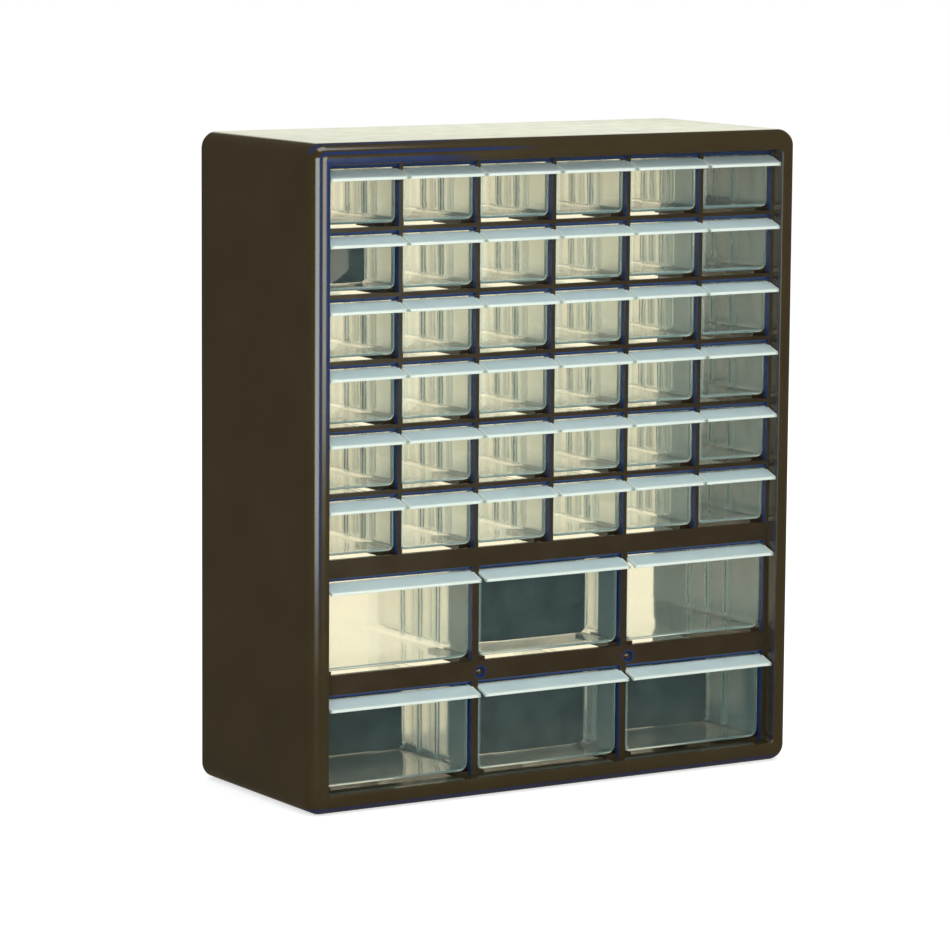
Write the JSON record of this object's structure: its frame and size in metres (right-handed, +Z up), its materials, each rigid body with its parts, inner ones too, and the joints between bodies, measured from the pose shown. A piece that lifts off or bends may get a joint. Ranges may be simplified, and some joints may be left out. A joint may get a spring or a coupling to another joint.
{
  "type": "small parts cabinet",
  "caption": "Desk-top small parts cabinet: a dark, open-backed moulded case with rows of small clear drawers above wider ones.",
  "frame": {"origin": "under the middle of the base, on the surface that the cabinet stands on", "axes": "+Z up, drawers pull out along -Y, +X to the right of someone who faces the drawers"},
  "size_m": [0.41, 0.16, 0.47],
  "materials": {
    "case_plastic": "satin",
    "drawer_plastic": "gloss",
    "divider_plastic": "satin"
  },
  "bodies": {
    "case": {"case_shell": "case_plastic", "front_grid": "case_plastic", "column_bars": "case_plastic", "column_fins": "case_plastic", "small_guides": "case_plastic", "large_guides": "case_plastic", "back_frame": "case_plastic"},
    "small_drawer_r1_c1": {"small_drawer_r1_c1": "drawer_plastic"},
    "small_drawer_r1_c2": {"small_drawer_r1_c2": "drawer_plastic"},
    "small_drawer_r1_c3": {"small_drawer_r1_c3": "drawer_plastic"},
    "small_drawer_r1_c4": {"small_drawer_r1_c4": "drawer_plastic"},
    "small_drawer_r1_c5": {"small_drawer_r1_c5": "drawer_plastic"},
    "small_drawer_r1_c6": {"small_drawer_r1_c6": "drawer_plastic"},
    "small_drawer_r2_c1": {"small_drawer_r2_c1": "drawer_plastic", "small_divider_r2_c1": "divider_plastic"},
    "small_drawer_r2_c2": {"small_drawer_r2_c2": "drawer_plastic"},
    "small_drawer_r2_c3": {"small_drawer_r2_c3": "drawer_plastic"},
    "small_drawer_r2_c4": {"small_drawer_r2_c4": "drawer_plastic"},
    "small_drawer_r2_c5": {"small_drawer_r2_c5": "drawer_plastic"},
    "small_drawer_r2_c6": {"small_drawer_r2_c6": "drawer_plastic"},
    "small_drawer_r3_c1": {"small_drawer_r3_c1": "drawer_plastic"},
    "small_drawer_r3_c2": {"small_drawer_r3_c2": "drawer_plastic"},
    "small_drawer_r3_c3": {"small_drawer_r3_c3": "drawer_plastic"},
    "small_drawer_r3_c4": {"small_drawer_r3_c4": "drawer_plastic"},
    "small_drawer_r3_c5": {"small_drawer_r3_c5": "drawer_plastic"},
    "small_drawer_r3_c6": {"small_drawer_r3_c6": "drawer_plastic"},
    "small_drawer_r4_c1": {"small_drawer_r4_c1": "drawer_plastic"},
    "small_drawer_r4_c2": {"small_drawer_r4_c2": "drawer_plastic"},
    "small_drawer_r4_c3": {"small_drawer_r4_c3": "drawer_plastic"},
    "small_drawer_r4_c4": {"small_drawer_r4_c4": "drawer_plastic"},
    "small_drawer_r4_c5": {"small_drawer_r4_c5": "drawer_plastic"},
    "small_drawer_r4_c6": {"small_drawer_r4_c6": "drawer_plastic"},
    "small_drawer_r5_c1": {"small_drawer_r5_c1": "drawer_plastic"},
    "small_drawer_r5_c2": {"small_drawer_r5_c2": "drawer_plastic"},
    "small_drawer_r5_c3": {"small_drawer_r5_c3": "drawer_plastic"},
    "small_drawer_r5_c4": {"small_drawer_r5_c4": "drawer_plastic"},
    "small_drawer_r5_c5": {"small_drawer_r5_c5": "drawer_plastic"},
    "small_drawer_r5_c6": {"small_drawer_r5_c6": "drawer_plastic"},
    "small_drawer_r6_c1": {"small_drawer_r6_c1": "drawer_plastic"},
    "small_drawer_r6_c2": {"small_drawer_r6_c2": "drawer_plastic"},
    "small_drawer_r6_c3": {"small_drawer_r6_c3": "drawer_plastic"},
    "small_drawer_r6_c4": {"small_drawer_r6_c4": "drawer_plastic"},
    "small_drawer_r6_c5": {"small_drawer_r6_c5": "drawer_plastic"},
    "small_drawer_r6_c6": {"small_drawer_r6_c6": "drawer_plastic"},
    "large_drawer_r7_c1": {"large_drawer_r7_c1": "drawer_plastic"},
    "large_drawer_r7_c2": {"large_drawer_r7_c2": "drawer_plastic", "large_divider_r7_c2": "divider_plastic"},
    "large_drawer_r7_c3": {"large_drawer_r7_c3": "drawer_plastic"},
    "large_drawer_r8_c1": {"large_drawer_r8_c1": "drawer_plastic", "large_divider_r8_c1": "divider_plastic"},
    "large_drawer_r8_c2": {"large_drawer_r8_c2": "drawer_plastic", "large_divider_r8_c2": "divider_plastic"},
    "large_drawer_r8_c3": {"large_drawer_r8_c3": "drawer_plastic", "large_divider_r8_c3": "divider_plastic"}
  },
  "joints": [
    {"name": "small_drawer_slide_r1_c1", "type": "slide", "parent": "case", "child": "small_drawer_r1_c1", "axis": [0, -1, 0], "range_m": [0, 0.1194]},
    {"name": "small_drawer_slide_r1_c2", "type": "slide", "parent": "case", "child": "small_drawer_r1_c2", "axis": [0, -1, 0], "range_m": [0, 0.1194]},
    {"name": "small_drawer_slide_r1_c3", "type": "slide", "parent": "case", "child": "small_drawer_r1_c3", "axis": [0, -1, 0], "range_m": [0, 0.1194]},
    {"name": "small_drawer_slide_r1_c4", "type": "slide", "parent": "case", "child": "small_drawer_r1_c4", "axis": [0, -1, 0], "range_m": [0, 0.1194]},
    {"name": "small_drawer_slide_r1_c5", "type": "slide", "parent": "case", "child": "small_drawer_r1_c5", "axis": [0, -1, 0], "range_m": [0, 0.1194]},
    {"name": "small_drawer_slide_r1_c6", "type": "slide", "parent": "case", "child": "small_drawer_r1_c6", "axis": [0, -1, 0], "range_m": [0, 0.1194]},
    {"name": "small_drawer_slide_r2_c1", "type": "slide", "parent": "case", "child": "small_drawer_r2_c1", "axis": [0, -1, 0], "range_m": [0, 0.1194]},
    {"name": "small_drawer_slide_r2_c2", "type": "slide", "parent": "case", "child": "small_drawer_r2_c2", "axis": [0, -1, 0], "range_m": [0, 0.1194]},
    {"name": "small_drawer_slide_r2_c3", "type": "slide", "parent": "case", "child": "small_drawer_r2_c3", "axis": [0, -1, 0], "range_m": [0, 0.1194]},
    {"name": "small_drawer_slide_r2_c4", "type": "slide", "parent": "case", "child": "small_drawer_r2_c4", "axis": [0, -1, 0], "range_m": [0, 0.1194]},
    {"name": "small_drawer_slide_r2_c5", "type": "slide", "parent": "case", "child": "small_drawer_r2_c5", "axis": [0, -1, 0], "range_m": [0, 0.1194]},
    {"name": "small_drawer_slide_r2_c6", "type": "slide", "parent": "case", "child": "small_drawer_r2_c6", "axis": [0, -1, 0], "range_m": [0, 0.1194]},
    {"name": "small_drawer_slide_r3_c1", "type": "slide", "parent": "case", "child": "small_drawer_r3_c1", "axis": [0, -1, 0], "range_m": [0, 0.1194]},
    {"name": "small_drawer_slide_r3_c2", "type": "slide", "parent": "case", "child": "small_drawer_r3_c2", "axis": [0, -1, 0], "range_m": [0, 0.1194]},
    {"name": "small_drawer_slide_r3_c3", "type": "slide", "parent": "case", "child": "small_drawer_r3_c3", "axis": [0, -1, 0], "range_m": [0, 0.1194]},
    {"name": "small_drawer_slide_r3_c4", "type": "slide", "parent": "case", "child": "small_drawer_r3_c4", "axis": [0, -1, 0], "range_m": [0, 0.1194]},
    {"name": "small_drawer_slide_r3_c5", "type": "slide", "parent": "case", "child": "small_drawer_r3_c5", "axis": [0, -1, 0], "range_m": [0, 0.1194]},
    {"name": "small_drawer_slide_r3_c6", "type": "slide", "parent": "case", "child": "small_drawer_r3_c6", "axis": [0, -1, 0], "range_m": [0, 0.1194]},
    {"name": "small_drawer_slide_r4_c1", "type": "slide", "parent": "case", "child": "small_drawer_r4_c1", "axis": [0, -1, 0], "range_m": [0, 0.1194]},
    {"name": "small_drawer_slide_r4_c2", "type": "slide", "parent": "case", "child": "small_drawer_r4_c2", "axis": [0, -1, 0], "range_m": [0, 0.1194]},
    {"name": "small_drawer_slide_r4_c3", "type": "slide", "parent": "case", "child": "small_drawer_r4_c3", "axis": [0, -1, 0], "range_m": [0, 0.1194]},
    {"name": "small_drawer_slide_r4_c4", "type": "slide", "parent": "case", "child": "small_drawer_r4_c4", "axis": [0, -1, 0], "range_m": [0, 0.1194]},
    {"name": "small_drawer_slide_r4_c5", "type": "slide", "parent": "case", "child": "small_drawer_r4_c5", "axis": [0, -1, 0], "range_m": [0, 0.1194]},
    {"name": "small_drawer_slide_r4_c6", "type": "slide", "parent": "case", "child": "small_drawer_r4_c6", "axis": [0, -1, 0], "range_m": [0, 0.1194]},
    {"name": "small_drawer_slide_r5_c1", "type": "slide", "parent": "case", "child": "small_drawer_r5_c1", "axis": [0, -1, 0], "range_m": [0, 0.1194]},
    {"name": "small_drawer_slide_r5_c2", "type": "slide", "parent": "case", "child": "small_drawer_r5_c2", "axis": [0, -1, 0], "range_m": [0, 0.1194]},
    {"name": "small_drawer_slide_r5_c3", "type": "slide", "parent": "case", "child": "small_drawer_r5_c3", "axis": [0, -1, 0], "range_m": [0, 0.1194]},
    {"name": "small_drawer_slide_r5_c4", "type": "slide", "parent": "case", "child": "small_drawer_r5_c4", "axis": [0, -1, 0], "range_m": [0, 0.1194]},
    {"name": "small_drawer_slide_r5_c5", "type": "slide", "parent": "case", "child": "small_drawer_r5_c5", "axis": [0, -1, 0], "range_m": [0, 0.1194]},
    {"name": "small_drawer_slide_r5_c6", "type": "slide", "parent": "case", "child": "small_drawer_r5_c6", "axis": [0, -1, 0], "range_m": [0, 0.1194]},
    {"name": "small_drawer_slide_r6_c1", "type": "slide", "parent": "case", "child": "small_drawer_r6_c1", "axis": [0, -1, 0], "range_m": [0, 0.1194]},
    {"name": "small_drawer_slide_r6_c2", "type": "slide", "parent": "case", "child": "small_drawer_r6_c2", "axis": [0, -1, 0], "range_m": [0, 0.1194]},
    {"name": "small_drawer_slide_r6_c3", "type": "slide", "parent": "case", "child": "small_drawer_r6_c3", "axis": [0, -1, 0], "range_m": [0, 0.1194]},
    {"name": "small_drawer_slide_r6_c4", "type": "slide", "parent": "case", "child": "small_drawer_r6_c4", "axis": [0, -1, 0], "range_m": [0, 0.1194]},
    {"name": "small_drawer_slide_r6_c5", "type": "slide", "parent": "case", "child": "small_drawer_r6_c5", "axis": [0, -1, 0], "range_m": [0, 0.1194]},
    {"name": "small_drawer_slide_r6_c6", "type": "slide", "parent": "case", "child": "small_drawer_r6_c6", "axis": [0, -1, 0], "range_m": [0, 0.1194]},
    {"name": "large_drawer_slide_r7_c1", "type": "slide", "parent": "case", "child": "large_drawer_r7_c1", "axis": [0, -1, 0], "range_m": [0, 0.1194]},
    {"name": "large_drawer_slide_r7_c2", "type": "slide", "parent": "case", "child": "large_drawer_r7_c2", "axis": [0, -1, 0], "range_m": [0, 0.1194]},
    {"name": "large_drawer_slide_r7_c3", "type": "slide", "parent": "case", "child": "large_drawer_r7_c3", "axis": [0, -1, 0], "range_m": [0, 0.1194]},
    {"name": "large_drawer_slide_r8_c1", "type": "slide", "parent": "case", "child": "large_drawer_r8_c1", "axis": [0, -1, 0], "range_m": [0, 0.1194]},
    {"name": "large_drawer_slide_r8_c2", "type": "slide", "parent": "case", "child": "large_drawer_r8_c2", "axis": [0, -1, 0], "range_m": [0, 0.1194]},
    {"name": "large_drawer_slide_r8_c3", "type": "slide", "parent": "case", "child": "large_drawer_r8_c3", "axis": [0, -1, 0], "range_m": [0, 0.1194]}
  ]
}
